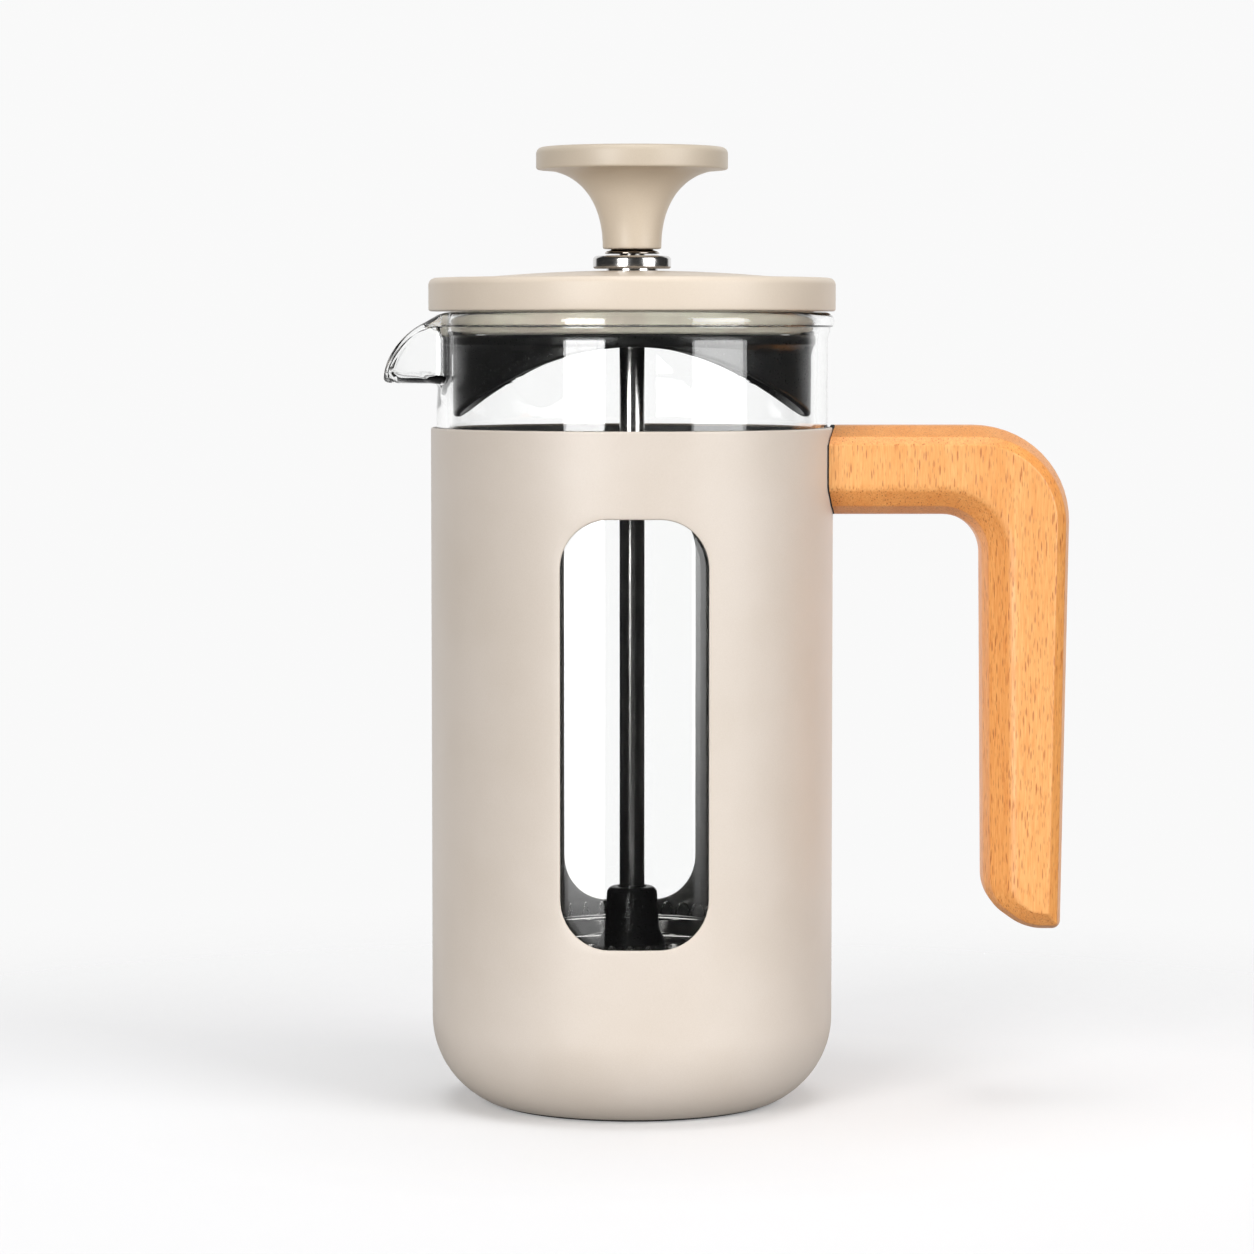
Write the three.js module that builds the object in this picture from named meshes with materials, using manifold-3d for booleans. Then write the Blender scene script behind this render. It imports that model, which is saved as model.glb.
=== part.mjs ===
// French press: a glass beaker in a painted steel sleeve with a wooden handle, a lid and a plunger.
// Millimetres, +Z up. The origin is the centre of the foot, the spout points along -X, the handle along +X.
import * as THREE from "three";
import { mergeVertices } from "three/addons/utils/BufferGeometryUtils.js";
import Module from "manifold-3d";

const wasm = await Module();
wasm.setup();

// Driving dimensions.
const GAP = 0.3; // clearance between pieces that are fitted together
const SIDES = 48; // facets round the large turned pieces
const MEDIUM_SIDES = 32; // facets round the knob and the large pieces inside
const SMALL_SIDES = 16; // facets round the small turned pieces

const SLEEVE = { radius: 36, wall: 0.7, top: 121.1, corner: 16.4, foot: 0.45, recess: 1.4, floor: 2.1 };
const WINDOW = { width: 25.7, bottom: 31.6, top: 105.95, corner: 8.5 };
const PAD = { radius: 25.7, thickness: 1.1 };
const CUSHION_RADIUS = 20;
const BEAKER = { radius: 35, wall: 2, bottom: 3.5, corner: 12, rim: 139.95, bead: 1.65 };
const SPOUT = { reach: 44.45, root: 11, nose: 6, bottom: 128.9, wall: 1.6, tip: 129.9, rim: 140.8 };
const ARM = { start: 28, top: 121.5, bottom: 105.6, innerCorner: 7, outerCorner: 17 };
const LEG = { inner: 62.4, innerToe: 63.1, outer: 78.2, outerToe: 77, straight: 74, bottom: 31, heel: 9.7 };
const HANDLE_DEPTH = 21;
const HANDLE_FLAT = 7; // depth of the band that keeps the full outline
const HANDLE_CHAMFER = 4;
const HANDLE_SEAT = 36.6; // radius of the hollow that fits round the sleeve
const GASKET = { inner: 36.15, outer: 36.45 };
const SCREW = { height: 113.6, head: 4.6, shank: 2.4, face: 35.45, end: 53, socket: 1.5 };
const DIMPLE = { depth: 2.1, room: 6.6 }; // the seat of the screw head, and the hollow for it in the wood
const INSERT = { radius: 3.6, start: 39.5, end: 51.5 };
const LID = { radius: 36.4, bottom: 141.8, edge: 147.75, crown: 149.1, dome: 28, wall: 1, corner: 1.3 };
const PLUG = { radius: 32.4, wall: 1.5, bottom: 138, flange: 35.05, web: 1.5, hub: 8 };
const SKIRT = { top: 137.9, radius: 32.8, foot: 32, wall: 1.5, arch: 135.5, lobe: 12.5, middle: 11, rise: 2.2 };
const COLLAR = { radius: 7, tube: 4.6, bore: 3.4, bottom: 135.8, seat: 149.4, top: 151.7, corner: 0.8 };
const COLLAR_NUT_ACROSS = 16;
const KNOB = { neck: 5.25, bottom: 152.9, disc: 17.13, discBottom: 167, top: 171, edge: 1.1 };
const KNOB_BORE = { radius: 4.05, top: 165.5, insertTop: 162 };
const STOP_RADIUS = 4.93;
const ROD = { radius: 2.25, bottom: 21.5, top: 164, chamfer: 0.4 };
const HUB = { radius: 4.45, bottom: 26.3, top: 38.5, corner: 1.3 };
const COIL = { radius: 31, height: 30.2, size: 1.6 };
const PLATE = { radius: 29.1, thickness: 0.7, centre: 25.4, rim: 29.2, dish: 22.4, dishTop: 24.8 };
const PLATE_HOLES = { count: 8, circle: 18, radius: 3.6 };
const SCREEN = { radius: 32.4, thickness: 0.4, centre: 24.7, rim: 28.1 };
const CROSS = { radius: 29, bottom: 23.8, thickness: 0.6 };
const CROSS_HOLES = { count: 4, circle: 16, radius: 8.5 };
const NUT = { across: 10, bottom: 21.1, top: 23.6 };

const SPOUT_START = 5 - BEAKER.radius; // inside the cup, where the spout's block begins
const FULL_TURN = 2 * Math.PI;
const ROD_HOLE = ROD.radius + GAP;

// Points on an arc round (x, y), from one angle to another in degrees.
function arc(x, y, radius, from, to, steps) {
  return Array.from({ length: steps + 1 }, (_, i) => {
    const angle = THREE.MathUtils.degToRad(from + ((to - from) * i) / steps);
    return [x + radius * Math.cos(angle), y + radius * Math.sin(angle)];
  });
}

// A profile of [radius, height] points turned round the Z axis. It runs anticlockwise.
function turned(profile, sides = SMALL_SIDES) {
  const points = profile.map(([radius, height]) => new THREE.Vector2(radius, height));
  return new THREE.LatheGeometry(points, sides).rotateX(Math.PI / 2);
}

// A ring whose profile doesn't touch the axis, closed on its first point.
function turnedRing(profile, sides = SMALL_SIDES) {
  return turned([...profile, profile[0]], sides);
}

// A plain tube between two radii and two heights.
function tube(inner, outer, bottom, top, sides = SMALL_SIDES) {
  return turnedRing([[inner, bottom], [outer, bottom], [outer, top], [inner, top]], sides);
}

// A plain disc between two heights.
function disc(radius, bottom, top, sides = SMALL_SIDES) {
  return turned([[0, bottom], [radius, bottom], [radius, top], [0, top]], sides);
}

// A shape of the XY plane, pushed up between two heights.
function upright(shape, bottom, top, curveSegments = 6) {
  const settings = { depth: top - bottom, bevelEnabled: false, curveSegments };
  return new THREE.ExtrudeGeometry(shape, settings).translate(0, 0, bottom);
}

// A shape drawn in X and Z, pushed out to the same depth on both sides of the XZ plane.
function sideways(shape, depth, curveSegments = 6) {
  const settings = { depth, bevelEnabled: false, curveSegments };
  return new THREE.ExtrudeGeometry(shape, settings).rotateX(Math.PI / 2).translate(0, depth / 2, 0);
}

// A round bar or cone along X.
function barAlongX(startRadius, endRadius, start, end, height) {
  const bar = new THREE.CylinderGeometry(endRadius, startRadius, end - start, SMALL_SIDES);
  return bar.rotateZ(-Math.PI / 2).translate((start + end) / 2, 0, height);
}

function toSolid(geometry) {
  const bare = geometry.clone();
  bare.deleteAttribute("normal");
  bare.deleteAttribute("uv");
  const merged = mergeVertices(bare, 1e-4);
  const vertProperties = merged.getAttribute("position").array;
  const triVerts = new Uint32Array(merged.index.array);
  return new wasm.Manifold(new wasm.Mesh({ numProp: 3, vertProperties, triVerts }));
}

function toGeometry(solid) {
  const mesh = solid.getMesh();
  const geometry = new THREE.BufferGeometry();
  geometry.setAttribute("position", new THREE.BufferAttribute(mesh.vertProperties, 3));
  geometry.setIndex(new THREE.BufferAttribute(mesh.triVerts, 1));
  geometry.computeVertexNormals();
  return geometry;
}

function join(first, ...others) {
  return toGeometry(others.reduce((solid, other) => solid.add(toSolid(other)), toSolid(first)));
}

function cut(first, ...tools) {
  return toGeometry(tools.reduce((solid, tool) => solid.subtract(toSolid(tool)), toSolid(first)));
}

function common(first, second) {
  return toGeometry(toSolid(first).intersect(toSolid(second)));
}

// Sleeve and foot.

function windowShape() {
  const { width, bottom, top, corner } = WINDOW;
  const side = width / 2;
  const shape = new THREE.Shape();
  shape.moveTo(-side + corner, bottom);
  shape.absarc(side - corner, bottom + corner, corner, -Math.PI / 2, 0);
  shape.absarc(side - corner, top - corner, corner, 0, Math.PI / 2);
  shape.absarc(-side + corner, top - corner, corner, Math.PI / 2, Math.PI);
  shape.absarc(-side + corner, bottom + corner, corner, Math.PI, 1.5 * Math.PI);
  return shape;
}

// The cup with a rounded foot. Its underside is recessed for the pad.
function sleeveCup() {
  const { radius, wall, top, corner, foot, recess, floor } = SLEEVE;
  const centre = [radius - corner, Math.sqrt(corner ** 2 - (PAD.radius + 1 - radius + corner) ** 2) + foot];
  const angleAt = (size, height) => THREE.MathUtils.radToDeg(Math.asin((height - centre[1]) / size));
  const inside = corner - wall;
  return turned(
    [
      [0, recess],
      [PAD.radius + GAP, recess],
      [PAD.radius + GAP, foot],
      ...arc(...centre, corner, angleAt(corner, foot), 0, 5),
      [radius, top],
      [radius - wall, top],
      ...arc(...centre, inside, 0, angleAt(inside, floor), 4),
      [0, floor],
    ],
    SIDES,
  );
}

// The screw head sinks into a dimple that is pressed outwards into the handle.
function frameSleeve() {
  const slope = SCREW.head + GAP + SCREW.face; // a 90 degree cone: its radius falls as fast as x grows
  const tip = SCREW.shank + GAP;
  const skin = SLEEVE.wall * Math.SQRT2;
  const start = SLEEVE.radius - SLEEVE.wall - 0.1;
  const end = SLEEVE.radius + DIMPLE.depth;
  const dimple = barAlongX(slope + skin - start, slope + skin - end, start, end, 0);
  const hollow = barAlongX(slope - start + GAP, tip, start - GAP, slope - tip, 0);
  const hole = barAlongX(tip, tip, SLEEVE.radius - 1, end + 1, 0);
  const place = (tool) => tool.translate(0, 0, SCREW.height);
  const windows = sideways(windowShape(), 3 * SLEEVE.radius);
  return cut(join(sleeveCup(), place(dimple)), windows, place(hollow), place(hole));
}

function basePad() {
  return disc(PAD.radius, 0, PAD.thickness, SIDES);
}

function beakerCushion() {
  return disc(CUSHION_RADIUS, SLEEVE.floor + 0.1, BEAKER.bottom - GAP, MEDIUM_SIDES);
}

// Handle.

// The outline of the L: an arm from the sleeve and a leg that narrows to a slanted toe.
function handleOutline() {
  const { start, top, bottom: under, innerCorner, outerCorner } = ARM;
  const { inner, innerToe, outer, outerToe, straight, bottom, heel } = LEG;
  const toe = outerToe - 1.1 * HANDLE_CHAMFER;
  const shape = new THREE.Shape();
  shape.moveTo(start, top);
  shape.lineTo(start, under);
  shape.absarc(inner - innerCorner, under - innerCorner, innerCorner, Math.PI / 2, 0, true);
  shape.lineTo(innerToe, bottom + heel);
  shape.quadraticCurveTo(innerToe + 0.12 * heel, bottom + 0.12 * heel, toe, bottom);
  shape.lineTo(outerToe, bottom);
  shape.lineTo(outer, straight);
  shape.absarc(outer - outerCorner, top - outerCorner, outerCorner, 0, Math.PI / 2);
  return shape;
}

function handleBlank() {
  const settings = {
    depth: HANDLE_FLAT,
    bevelEnabled: true,
    bevelThickness: (HANDLE_DEPTH - HANDLE_FLAT) / 2,
    bevelSize: HANDLE_CHAMFER,
    bevelOffset: -HANDLE_CHAMFER,
    bevelSegments: 1,
    curveSegments: 8,
  };
  const blank = new THREE.ExtrudeGeometry(handleOutline(), settings);
  return blank.rotateX(Math.PI / 2).translate(0, HANDLE_FLAT / 2, 0);
}

// A round hollow along the screw, from inside the sleeve outwards.
function screwHollow(radius, end) {
  return barAlongX(radius, radius, ARM.start, end, SCREW.height);
}

function handle() {
  const seat = disc(HANDLE_SEAT, ARM.bottom - 5, ARM.top + 5, SIDES);
  const dimpleRoom = screwHollow(DIMPLE.room, SLEEVE.radius + DIMPLE.depth + 0.4);
  const insertRoom = screwHollow(INSERT.radius + GAP, SCREW.end + 2);
  return cut(handleBlank(), seat, dimpleRoom, insertRoom);
}

function handleGasket() {
  const band = tube(GASKET.inner, GASKET.outer, ARM.bottom, ARM.top, SIDES);
  return cut(common(handleBlank(), band), screwHollow(DIMPLE.room, SCREW.end));
}

function handleScrew() {
  const { height, head, shank, face, end, socket } = SCREW;
  const cone = barAlongX(head, shank, face, face + head - shank, height);
  const stem = barAlongX(shank, shank, face + 1, end, height);
  const recess = barAlongX(socket, socket, face - 1, face + socket, height);
  return cut(join(cone, stem), recess);
}

function handleInsert() {
  const { radius, start, end } = INSERT;
  const sleeve = barAlongX(radius, radius, start, end, SCREW.height);
  return cut(sleeve, screwHollow(SCREW.shank + GAP, end + 1));
}

// Beaker.

// The cup has a rounded foot and a fire-polished bead at its rim.
function beakerCup() {
  const { radius, wall, bottom, corner, rim, bead } = BEAKER;
  const beadRadius = radius - 0.45;
  const across = radius - corner;
  return turned(
    [
      [0, bottom],
      ...arc(across, bottom + corner, corner, -90, 0, 4),
      ...arc(beadRadius, rim, bead, -75, 200, 5),
      ...arc(across, bottom + corner, corner - wall, 0, -90, 4),
      [0, bottom + wall],
    ],
    SIDES,
  );
}

// The spout seen from above: a nose that narrows from its root to its tip.
function spoutPlan(inset) {
  const root = SPOUT.root - inset;
  const tip = -SPOUT.reach + inset;
  const nose = SPOUT.nose - inset;
  const shape = new THREE.Shape();
  shape.moveTo(SPOUT_START, root);
  shape.quadraticCurveTo(tip, nose, tip, 0);
  shape.quadraticCurveTo(tip, -nose, SPOUT_START, -root);
  return shape;
}

// The spout seen from the side: a level floor and an edge that falls away from the rim to the tip.
function spoutSide() {
  const { reach, bottom, tip, rim } = SPOUT;
  const root = 0.4 - BEAKER.radius;
  const shape = new THREE.Shape();
  shape.moveTo(SPOUT_START, rim);
  shape.lineTo(root, rim);
  shape.absellipse(root, tip, reach + root, rim - tip, Math.PI / 2, Math.PI);
  shape.quadraticCurveTo(-reach, bottom, -reach + 2, bottom);
  shape.lineTo(SPOUT_START, bottom);
  return shape;
}

function glassBeaker() {
  const above = BEAKER.rim + 5;
  const below = SPOUT.bottom - 5;
  const outside = common(upright(spoutPlan(0), below, above), sideways(spoutSide(), 4 * SPOUT.root));
  const channel = upright(spoutPlan(SPOUT.wall), SPOUT.bottom + SPOUT.wall, above);
  const mouth = disc(BEAKER.radius - BEAKER.wall - 0.05, below, above, SIDES);
  return cut(join(beakerCup(), outside), channel, mouth);
}

// Lid.

// A pressed cap, flat near its edge, with a shallow dome in the middle. It is open underneath.
function lidCap() {
  const { radius, bottom, edge, crown, dome, wall, corner } = LID;
  const hole = COLLAR.tube + GAP;
  const flat = radius - corner;
  const domed = (r) => [r, crown - (crown - edge) * Math.min(r / dome, 1) ** 2];
  const lowered = ([r, height]) => [r, height - wall];
  const across = [dome, 0.66 * dome, 0.33 * dome, hole].map(domed);
  return turnedRing(
    [
      [radius - wall, bottom],
      [radius, bottom],
      ...arc(flat, edge - corner, corner, 0, 90, 3),
      ...across,
      ...across.slice(2).reverse().map(lowered),
      [flat - wall, edge - 1.2],
      [radius - wall, edge - 2],
    ],
    SIDES,
  );
}

// The insert under the cap: a hub round the collar, a web that rests on the rim, and the plug in the mouth.
function lidPlug() {
  const { radius, wall, bottom, flange, web, hub: hubOuter } = PLUG;
  const hubInner = COLLAR.tube + 2 * GAP;
  const webTop = LID.bottom + web;
  const hubBottom = SKIRT.top + SKIRT.rise + 0.1;
  const hubTop = LID.crown - LID.wall - GAP;
  return turnedRing(
    [
      [hubInner, hubBottom],
      [hubOuter, hubBottom],
      [hubOuter, LID.bottom],
      [radius - wall, LID.bottom],
      [radius - wall, bottom],
      [radius, bottom],
      [radius, LID.bottom],
      [flange, LID.bottom],
      [flange, webTop],
      [hubOuter, webTop],
      [hubOuter, hubTop],
      [hubInner, hubTop],
    ],
    MEDIUM_SIDES,
  );
}

// The skirt before its arches are cut: a web with a raised middle, and a wall that tapers in.
function skirtCup() {
  const { top, radius, foot, wall, arch, lobe, middle, rise } = SKIRT;
  const hole = COLLAR.tube + GAP;
  const low = arch - lobe;
  return turnedRing(
    [
      [hole, top + rise - wall],
      [middle - 0.5, top + rise - wall],
      [middle + 0.5, top - wall],
      [radius - 2, top - wall],
      [foot - wall, low],
      [foot, low],
      [radius - 0.7, top - 2],
      [radius, top - 1.2],
      [radius, top],
      [middle + 1.2, top],
      [middle, top + rise],
      [hole, top + rise],
    ],
    SIDES,
  );
}

// Two arches, front and back. Between them a lobe hangs on each side, and one lobe shuts the spout.
function skirtArches() {
  const { foot, arch, lobe } = SKIRT;
  const steps = 12;
  const shape = new THREE.Shape();
  shape.moveTo(-foot, arch - lobe - 2);
  for (let i = 0; i <= steps; i++) {
    const across = Math.sin((Math.PI * i) / steps - Math.PI / 2);
    shape.lineTo(foot * across, arch - lobe * across ** 2);
  }
  shape.lineTo(foot, arch - lobe - 2);
  return sideways(shape, 3 * foot);
}

function lidSkirt() {
  return cut(skirtCup(), skirtArches());
}

function lidCollar() {
  const { radius, tube: neck, bore, bottom, seat, top, corner } = COLLAR;
  return turnedRing([
    [bore, bottom],
    [neck, bottom],
    [neck, seat],
    [radius, seat],
    ...arc(radius - corner, top - corner, corner, 0, 90, 3),
    [bore, top],
  ]);
}

function hexagonalNut(across, hole, bottom, top) {
  const shape = new THREE.Shape();
  const corner = across / Math.sqrt(3);
  arc(0, 0, corner, 0, 300, 5).forEach(([x, y], i) => (i ? shape.lineTo(x, y) : shape.moveTo(x, y)));
  const bore = new THREE.Path();
  bore.absarc(0, 0, hole, 0, FULL_TURN);
  shape.holes.push(bore);
  return upright(shape, bottom, top, 12);
}

function collarNut() {
  return hexagonalNut(COLLAR_NUT_ACROSS, COLLAR.tube + GAP, COLLAR.bottom, SKIRT.top + 0.4);
}

function rodBush() {
  return tube(ROD_HOLE, COLLAR.bore - GAP, COLLAR.bottom + 0.2, COLLAR.top - GAP);
}

// Plunger.

// A trumpet: a slim neck that flares into a flat disc, bored from below for the rod.
function plungerKnob() {
  const { neck, bottom, disc: rim, discBottom, top, edge } = KNOB;
  const { radius: bore, top: boreTop } = KNOB_BORE;
  const flare = new THREE.CubicBezierCurve(
    new THREE.Vector2(neck, bottom + 0.4),
    new THREE.Vector2(neck, bottom + 9.4),
    new THREE.Vector2(neck + 5, discBottom),
    new THREE.Vector2(rim - 0.5, discBottom),
  );
  return turned(
    [
      [0, boreTop],
      [bore, boreTop],
      [bore, bottom],
      [neck - 0.4, bottom],
      ...flare.getPoints(8).map((point) => [point.x, point.y]),
      [rim, discBottom + 0.5],
      ...arc(rim - edge, top - edge, edge, 0, 90, 3),
      [0, top],
    ],
    MEDIUM_SIDES,
  );
}

function knobInsert() {
  return tube(ROD_HOLE, KNOB_BORE.radius - GAP, KNOB.bottom + 1, KNOB_BORE.insertTop);
}

// A domed ferrule that comes to rest on the collar. Its neck sits in the knob.
function knobStop() {
  const seat = COLLAR.top + GAP;
  const neck = KNOB_BORE.radius - GAP;
  const neckTop = KNOB.bottom + 0.7;
  return turnedRing([
    [ROD_HOLE, seat],
    [STOP_RADIUS, seat],
    [STOP_RADIUS - 0.12, seat + 0.3],
    [STOP_RADIUS - 0.6, seat + 0.6],
    [neck, seat + 0.7],
    [neck, neckTop],
    [ROD_HOLE, neckTop],
  ]);
}

function plungerRod() {
  const { radius, bottom, top, chamfer } = ROD;
  return turned([
    [0, bottom],
    [radius - chamfer, bottom],
    [radius, bottom + chamfer],
    [radius, top - chamfer],
    [radius - chamfer, top],
    [0, top],
  ]);
}

function filterHub() {
  const { radius, bottom, top, corner } = HUB;
  return turnedRing([
    [ROD_HOLE, bottom],
    [radius + 1.7, bottom],
    [radius + 0.7, bottom + 1.2],
    [radius + 0.3, bottom + 2.4],
    ...arc(radius - corner, top - corner, corner, 0, 90, 3),
    [ROD_HOLE, top],
  ]);
}

// Upright bars on a circle, to cut a ring of holes.
function ringOfBars({ count, circle, radius }) {
  return Array.from({ length: count }, (_, i) => {
    const angle = (FULL_TURN * (i + 0.5)) / count;
    const bar = disc(radius, CROSS.bottom - 1, PLATE.rim + 1, 12);
    return bar.translate(circle * Math.cos(angle), circle * Math.sin(angle), 0);
  });
}

// A dished sheet: flat in the middle, a cone, and a flat rim.
function dishedSheet({ radius, thickness, centre, rim }, dish, dishTop) {
  const under = [
    [ROD_HOLE, centre],
    [dish, centre],
    [dishTop, rim],
    [radius, rim],
  ];
  const over = under.map(([r, height]) => [r, height + thickness]).reverse();
  return turnedRing([...under, ...over], MEDIUM_SIDES);
}

// The plate whose raised rim carries the coiled seal.
function spiralPlate() {
  return cut(dishedSheet(PLATE, PLATE.dish, PLATE.dishTop), ...ringOfBars(PLATE_HOLES));
}

// The outer shape of the coiled wire that seals the plate against the glass.
function filterSpring() {
  return turnedRing(arc(COIL.radius, COIL.height, COIL.size, -90, 210, 5), MEDIUM_SIDES);
}

// The screen lies under the plate and the coil, a little clear of both.
function meshScreen() {
  return dishedSheet(SCREEN, PLATE.dish + GAP, PLATE.dishTop + 2 * GAP);
}

function crossPlate() {
  const plate = tube(ROD_HOLE, CROSS.radius, CROSS.bottom, CROSS.bottom + CROSS.thickness, MEDIUM_SIDES);
  return cut(plate, ...ringOfBars(CROSS_HOLES));
}

function filterNut() {
  return hexagonalNut(NUT.across, ROD_HOLE, NUT.bottom, NUT.top);
}

// Materials and assembly.

function finish(color, roughness, metalness) {
  return new THREE.MeshStandardMaterial({ color, roughness, metalness });
}

const paint = finish(0xd2c5b5, 0.45, 0.1);
const steel = finish(0xa8a6a2, 0.25, 1);
const chrome = finish(0xd8d8d8, 0.08, 1);
const brass = finish(0xc79a4b, 0.3, 1);
const blackPlastic = finish(0x222222, 0.4, 0);
const rubber = finish(0x1c1c1c, 0.8, 0);
const beech = finish(0xe0a064, 0.5, 0);
const glass = finish(0xf2f6f5, 0.02, 0);
glass.transparent = true;
glass.opacity = 0.3;

const press = new THREE.Group();

function add(name, geometry, material) {
  const mesh = new THREE.Mesh(geometry, material.clone());
  mesh.name = name;
  press.add(mesh);
}

add("frame_sleeve", frameSleeve(), paint);
add("base_pad", basePad(), rubber);
add("beaker_cushion", beakerCushion(), rubber);
add("handle", handle(), beech);
add("handle_gasket", handleGasket(), rubber);
add("handle_screw", handleScrew(), steel);
add("handle_insert", handleInsert(), brass);
add("glass_beaker", glassBeaker(), glass);
add("lid_cap", lidCap(), paint);
add("lid_plug", lidPlug(), paint);
add("lid_skirt", lidSkirt(), blackPlastic);
add("lid_collar", lidCollar(), chrome);
add("collar_nut", collarNut(), steel);
add("rod_bush", rodBush(), blackPlastic);
add("plunger_knob", plungerKnob(), paint);
add("knob_insert", knobInsert(), brass);
add("knob_stop", knobStop(), steel);
add("plunger_rod", plungerRod(), steel);
add("filter_hub", filterHub(), blackPlastic);
add("spiral_plate", spiralPlate(), steel);
add("filter_spring", filterSpring(), steel);
add("mesh_screen", meshScreen(), steel);
add("cross_plate", crossPlate(), steel);
add("filter_nut", filterNut(), steel);

export default press;
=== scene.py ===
import math

import bpy
import numpy as np
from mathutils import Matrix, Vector

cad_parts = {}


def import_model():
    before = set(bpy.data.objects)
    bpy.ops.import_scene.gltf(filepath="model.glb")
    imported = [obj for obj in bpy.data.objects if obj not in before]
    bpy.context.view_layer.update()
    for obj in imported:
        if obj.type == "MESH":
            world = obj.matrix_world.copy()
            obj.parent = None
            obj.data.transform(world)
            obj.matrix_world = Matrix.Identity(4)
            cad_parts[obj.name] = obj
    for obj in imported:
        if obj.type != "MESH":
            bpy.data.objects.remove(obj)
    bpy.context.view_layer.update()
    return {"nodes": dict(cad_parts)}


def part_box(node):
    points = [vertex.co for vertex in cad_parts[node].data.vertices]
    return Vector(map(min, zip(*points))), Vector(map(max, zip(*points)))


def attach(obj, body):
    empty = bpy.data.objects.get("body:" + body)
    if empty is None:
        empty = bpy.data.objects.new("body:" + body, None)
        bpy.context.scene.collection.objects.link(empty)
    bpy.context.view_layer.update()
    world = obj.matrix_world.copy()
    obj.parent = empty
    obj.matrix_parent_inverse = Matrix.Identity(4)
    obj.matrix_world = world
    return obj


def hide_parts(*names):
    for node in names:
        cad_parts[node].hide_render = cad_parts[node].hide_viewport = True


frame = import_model()

# Meshes are drawn in millimetres in the row frame, +Z up, and scaled to metres when they are made.
MM = 0.001
TAU = 2 * math.pi
SIDES = 192


def box(node):
    """Lowest and highest corner of a CAD node, in millimetres."""
    low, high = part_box(node)
    return np.array(low) / MM, np.array(high) / MM


# Driving sizes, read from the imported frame.
_, SLEEVE_RADIUS, SLEEVE_TOP = box("frame_sleeve")[1]
_, PAD_RADIUS, PAD_TOP = box("base_pad")[1]
BEAKER_LOW, BEAKER_HIGH = box("glass_beaker")
CAP_LOW, CAP_HIGH = box("lid_cap")
PLUG_LOW, PLUG_HIGH = box("lid_plug")
SKIRT_RADIUS = box("lid_skirt")[1][0]
COLLAR_LOW, COLLAR_HIGH = box("lid_collar")
STOP_LOW, STOP_HIGH = box("knob_stop")
KNOB_LOW, KNOB_HIGH = box("plunger_knob")
ROD_LOW, ROD_HIGH = box("plunger_rod")
HUB_LOW, HUB_HIGH = box("filter_hub")
HANDLE_LOW, HANDLE_HIGH = box("handle")
COIL_LOW, COIL_HIGH = box("filter_spring")
PLATE_LOW, PLATE_HIGH = box("spiral_plate")
SCREEN_LOW, SCREEN_HIGH = box("mesh_screen")
CROSS_LOW, CROSS_HIGH = box("cross_plate")

SCREW_HEIGHT = (box("handle_screw")[0][2] + box("handle_screw")[1][2]) / 2

# Sizes that several pieces share.
WALL = 0.7  # sheet steel of the sleeve
BORE = 2.55  # radius of the holes for the rod
COLLAR_NECK = 4.6  # radius of the collar's stem
STEM_GAP = 0.3  # round that stem
SKIRT_TOP = 137.9

SHARP = 32  # an edge that turns by more degrees than this stays sharp
ON_AXIS = 1e-6  # a profile's point closer to Z than this is on it


# Mesh tools.


def rounded(corners, steps=6, closed=False):
    """A line through (x, y, radius) corners with an arc at each corner that has a radius."""
    points, count = [], len(corners)
    for i, (x, y, radius) in enumerate(corners):
        here = np.array([x, y], float)
        if radius == 0 or (not closed and i in (0, count - 1)):
            points.append(here)
            continue
        before = unit(np.array(corners[i - 1][:2], float) - here)
        after = unit(np.array(corners[(i + 1) % count][:2], float) - here)
        half = math.acos(np.clip(before @ after, -1, 1)) / 2
        centre = here + unit(before + after) * radius / math.sin(half)
        first = here + before * radius / math.tan(half) - centre
        last = here + after * radius / math.tan(half) - centre
        start = math.atan2(first[1], first[0])
        turn = (math.atan2(last[1], last[0]) - start + math.pi) % TAU - math.pi
        for k in range(steps + 1):
            angle = start + turn * k / steps
            points.append(centre + radius * np.array([math.cos(angle), math.sin(angle)]))
    return points


def arc(x, y, radius, start, end, steps):
    """Points on an arc round (x, y), between two angles in degrees."""
    angles = np.radians(np.linspace(start, end, steps + 1))
    return [np.array([x + radius * math.cos(a), y + radius * math.sin(a)]) for a in angles]


def bezier(a, b, c, d, steps):
    """Points on a cubic Bezier curve from a to d."""
    a, b, c, d = (np.array(p, float) for p in (a, b, c, d))
    points = []
    for t in np.linspace(0, 1, steps + 1):
        rest = 1 - t
        points.append(rest**3 * a + 3 * rest**2 * t * b + 3 * rest * t**2 * c + t**3 * d)
    return points


def resampled(points, count):
    """Points spread evenly along a line."""
    points = np.array(points)
    reach = np.concatenate([[0], np.cumsum(np.linalg.norm(np.diff(points, axis=0), axis=1))])
    wanted = np.linspace(0, reach[-1], count)
    return np.stack([np.interp(wanted, reach, points[:, k]) for k in range(2)], axis=1)


def unit(vectors):
    """The vectors with a length of one."""
    return vectors / np.linalg.norm(vectors, axis=-1, keepdims=True)


def grid_faces(rows, columns, first=0, wrap_rows=False, wrap_columns=False):
    """Quads of a grid of vertices stored row by row."""
    faces = []
    for j in range(rows if wrap_rows else rows - 1):
        for i in range(columns if wrap_columns else columns - 1):
            k, m = (j + 1) % rows, (i + 1) % columns
            corners = (j * columns + i, j * columns + m, k * columns + m, k * columns + i)
            faces.append([first + n for n in corners])
    return faces


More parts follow.
